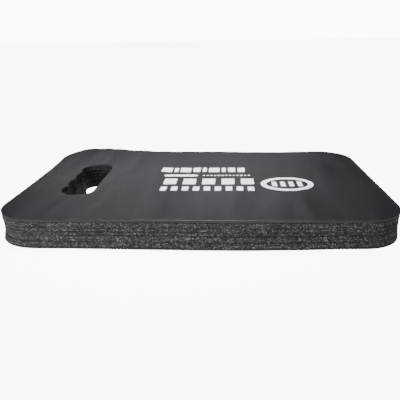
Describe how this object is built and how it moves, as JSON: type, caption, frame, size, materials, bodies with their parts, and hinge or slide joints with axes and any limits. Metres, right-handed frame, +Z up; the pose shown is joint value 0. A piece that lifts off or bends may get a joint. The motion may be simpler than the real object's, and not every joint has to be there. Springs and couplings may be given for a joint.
{
  "type": "kneeling pad",
  "caption": "Flat rounded-rectangle kneeling mat of laminated closed-cell foam with smooth skins and a scalloped grip slot near one short side.",
  "frame": {"origin": "middle of the underside, on the surface the mat lies on", "axes": "+X along the length away from the grip slot, +Y across the width, +Z up through the sheets"},
  "size_m": [0.48, 0.32, 0.036],
  "materials": {
    "skin": "smooth satin foam skin, charcoal grey",
    "foam": "rough die-cut closed-cell foam edge, dark grey with brown and pale specks",
    "print": "thin matt screen-print ink, bluish white"
  },
  "bodies": {
    "root": {"bottom_skin": "skin", "foam_ply_1": "foam", "foam_ply_2": "foam", "foam_ply_3": "foam", "foam_ply_4": "foam", "foam_ply_5": "foam", "top_skin": "skin"}
  },
  "joints": []
}
